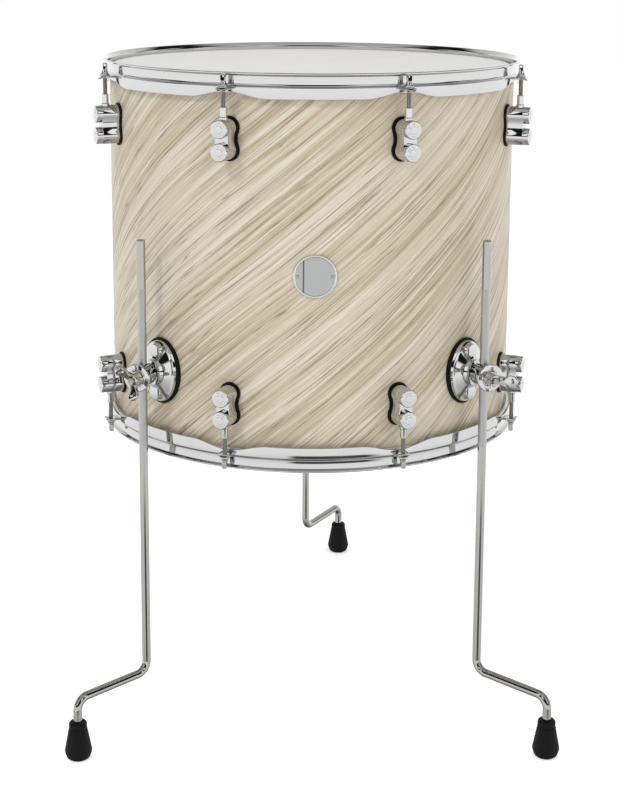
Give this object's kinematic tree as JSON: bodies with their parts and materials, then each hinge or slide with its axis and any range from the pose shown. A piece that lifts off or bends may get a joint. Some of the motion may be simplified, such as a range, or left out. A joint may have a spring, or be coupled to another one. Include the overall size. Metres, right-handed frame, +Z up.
{
  "type": "floor tom drum",
  "caption": "Floor tom drum with streaked ivory wrap, chrome triple-flanged hoops, twin-turret lugs and three height-adjustable legs with rubber feet.",
  "frame": {"origin": "centre of the bounding box on the floor, between the three feet; the drum axis is vertical and stands 45.3 mm towards -Y of it", "axes": "+Z up along the drum axis, -Y is the front with the badge, +X to the right seen from the front"},
  "size_m": [0.5278, 0.6185, 0.728],
  "materials": {
    "maple_ply": "satin lacquer",
    "ivory_wrap": "gloss, streaked",
    "coated_film": "fine white coating",
    "clear_film": "smooth",
    "chrome": "polished",
    "plated_steel": "bright plated",
    "aluminium": "satin",
    "rubber": "matte black"
  },
  "bodies": {
    "drum": {"shell": "maple_ply", "finish_wrap": "ivory_wrap", "batter_head_film": "coated_film", "batter_flesh_hoop": "aluminium", "resonant_head_film": "clear_film", "resonant_flesh_hoop": "aluminium", "batter_hoop": "chrome", "resonant_hoop": "chrome", "badge": "aluminium", "air_vent_grommet": "chrome", "batter_lug_1": "chrome", "batter_lug_2": "chrome", "batter_lug_3": "chrome", "batter_lug_4": "chrome", "batter_lug_5": "chrome", "batter_lug_6": "chrome", "batter_lug_7": "chrome", "batter_lug_8": "chrome", "resonant_lug_1": "chrome", "resonant_lug_2": "chrome", "resonant_lug_3": "chrome", "resonant_lug_4": "chrome", "resonant_lug_5": "chrome", "resonant_lug_6": "chrome", "resonant_lug_7": "chrome", "resonant_lug_8": "chrome", "bracket_left": "chrome", "bracket_right": "chrome", "bracket_rear": "chrome", "eyebolt_left": "plated_steel", "eyebolt_right": "plated_steel", "eyebolt_rear": "plated_steel"},
    "batter_rod_1": {"batter_rod_1": "plated_steel"},
    "batter_rod_2": {"batter_rod_2": "plated_steel"},
    "batter_rod_3": {"batter_rod_3": "plated_steel"},
    "batter_rod_4": {"batter_rod_4": "plated_steel"},
    "batter_rod_5": {"batter_rod_5": "plated_steel"},
    "batter_rod_6": {"batter_rod_6": "plated_steel"},
    "batter_rod_7": {"batter_rod_7": "plated_steel"},
    "batter_rod_8": {"batter_rod_8": "plated_steel"},
    "resonant_rod_1": {"resonant_rod_1": "plated_steel"},
    "resonant_rod_2": {"resonant_rod_2": "plated_steel"},
    "resonant_rod_3": {"resonant_rod_3": "plated_steel"},
    "resonant_rod_4": {"resonant_rod_4": "plated_steel"},
    "resonant_rod_5": {"resonant_rod_5": "plated_steel"},
    "resonant_rod_6": {"resonant_rod_6": "plated_steel"},
    "resonant_rod_7": {"resonant_rod_7": "plated_steel"},
    "resonant_rod_8": {"resonant_rod_8": "plated_steel"},
    "leg_left": {"leg_left": "plated_steel", "foot_left": "rubber"},
    "clamp_left": {"clamp_cup_left": "chrome"},
    "wing_nut_left": {"wing_nut_left": "chrome"},
    "leg_right": {"leg_right": "plated_steel", "foot_right": "rubber"},
    "clamp_right": {"clamp_cup_right": "chrome"},
    "wing_nut_right": {"wing_nut_right": "chrome"},
    "leg_rear": {"leg_rear": "plated_steel", "foot_rear": "rubber"},
    "clamp_rear": {"clamp_cup_rear": "chrome"},
    "wing_nut_rear": {"wing_nut_rear": "chrome"}
  },
  "joints": [
    {"name": "tension_rod_turn_batter_1", "type": "hinge", "parent": "drum", "child": "batter_rod_1", "pos_m": [0.09337, -0.27069, 0.7128], "axis": [0, 0, 1], "continuous": true},
    {"name": "tension_rod_turn_batter_2", "type": "hinge", "parent": "drum", "child": "batter_rod_2", "pos_m": [0.22543, -0.13864, 0.7128], "axis": [0, 0, 1], "continuous": true},
    {"name": "tension_rod_turn_batter_3", "type": "hinge", "parent": "drum", "child": "batter_rod_3", "pos_m": [0.22543, 0.04811, 0.7128], "axis": [0, 0, 1], "continuous": true},
    {"name": "tension_rod_turn_batter_4", "type": "hinge", "parent": "drum", "child": "batter_rod_4", "pos_m": [0.09337, 0.18016, 0.7128], "axis": [0, 0, 1], "continuous": true},
    {"name": "tension_rod_turn_batter_5", "type": "hinge", "parent": "drum", "child": "batter_rod_5", "pos_m": [-0.09337, 0.18016, 0.7128], "axis": [0, 0, 1], "continuous": true},
    {"name": "tension_rod_turn_batter_6", "type": "hinge", "parent": "drum", "child": "batter_rod_6", "pos_m": [-0.22543, 0.04811, 0.7128], "axis": [0, 0, 1], "continuous": true},
    {"name": "tension_rod_turn_batter_7", "type": "hinge", "parent": "drum", "child": "batter_rod_7", "pos_m": [-0.22543, -0.13864, 0.7128], "axis": [0, 0, 1], "continuous": true},
    {"name": "tension_rod_turn_batter_8", "type": "hinge", "parent": "drum", "child": "batter_rod_8", "pos_m": [-0.09337, -0.27069, 0.7128], "axis": [0, 0, 1], "continuous": true},
    {"name": "tension_rod_turn_resonant_1", "type": "hinge", "parent": "drum", "child": "resonant_rod_1", "pos_m": [0.09337, -0.27069, 0.3272], "axis": [0, 0, 1], "continuous": true},
    {"name": "tension_rod_turn_resonant_2", "type": "hinge", "parent": "drum", "child": "resonant_rod_2", "pos_m": [0.22543, -0.13864, 0.3272], "axis": [0, 0, 1], "continuous": true},
    {"name": "tension_rod_turn_resonant_3", "type": "hinge", "parent": "drum", "child": "resonant_rod_3", "pos_m": [0.22543, 0.04811, 0.3272], "axis": [0, 0, 1], "continuous": true},
    {"name": "tension_rod_turn_resonant_4", "type": "hinge", "parent": "drum", "child": "resonant_rod_4", "pos_m": [0.09337, 0.18016, 0.3272], "axis": [0, 0, 1], "continuous": true},
    {"name": "tension_rod_turn_resonant_5", "type": "hinge", "parent": "drum", "child": "resonant_rod_5", "pos_m": [-0.09337, 0.18016, 0.3272], "axis": [0, 0, 1], "continuous": true},
    {"name": "tension_rod_turn_resonant_6", "type": "hinge", "parent": "drum", "child": "resonant_rod_6", "pos_m": [-0.22543, 0.04811, 0.3272], "axis": [0, 0, 1], "continuous": true},
    {"name": "tension_rod_turn_resonant_7", "type": "hinge", "parent": "drum", "child": "resonant_rod_7", "pos_m": [-0.22543, -0.13864, 0.3272], "axis": [0, 0, 1], "continuous": true},
    {"name": "tension_rod_turn_resonant_8", "type": "hinge", "parent": "drum", "child": "resonant_rod_8", "pos_m": [-0.09337, -0.27069, 0.3272], "axis": [0, 0, 1], "continuous": true},
    {"name": "leg_slide_left", "type": "slide", "parent": "drum", "child": "leg_left", "axis": [0, 0, 1], "range_m": [-0.12, 0.25]},
    {"name": "clamp_slide_left", "type": "slide", "parent": "drum", "child": "clamp_left", "axis": [-0.3584, -0.9336, 0], "range_m": [0, 0.00187]},
    {"name": "nut_turn_left", "type": "hinge", "parent": "clamp_left", "child": "wing_nut_left", "pos_m": [-0.18173, -0.22699, 0.403], "axis": [-0.3584, -0.9336, 0], "range_deg": [0, 540]},
    {"name": "leg_slide_right", "type": "slide", "parent": "drum", "child": "leg_right", "axis": [0, 0, 1], "range_m": [-0.12, 0.25]},
    {"name": "clamp_slide_right", "type": "slide", "parent": "drum", "child": "clamp_right", "axis": [0.3584, -0.9336, 0], "range_m": [0, 0.00187]},
    {"name": "nut_turn_right", "type": "hinge", "parent": "clamp_right", "child": "wing_nut_right", "pos_m": [0.18173, -0.22699, 0.403], "axis": [0.3584, -0.9336, 0], "range_deg": [0, 540]},
    {"name": "leg_slide_rear", "type": "slide", "parent": "drum", "child": "leg_rear", "axis": [0, 0, 1], "range_m": [-0.12, 0.25]},
    {"name": "clamp_slide_rear", "type": "slide", "parent": "drum", "child": "clamp_rear", "axis": [0.4067, 0.9135, 0], "range_m": [0, 0.00187]},
    {"name": "nut_turn_rear", "type": "hinge", "parent": "clamp_rear", "child": "wing_nut_rear", "pos_m": [0, 0.21174, 0.403], "axis": [0.4067, 0.9135, 0], "range_deg": [0, 540]}
  ],
  "couplings": [
    {"joint": "nut_turn_left", "follows": "clamp_slide_left", "rad_per_m": 5026.5},
    {"joint": "nut_turn_right", "follows": "clamp_slide_right", "rad_per_m": 5026.5},
    {"joint": "nut_turn_rear", "follows": "clamp_slide_rear", "rad_per_m": 5026.5}
  ]
}
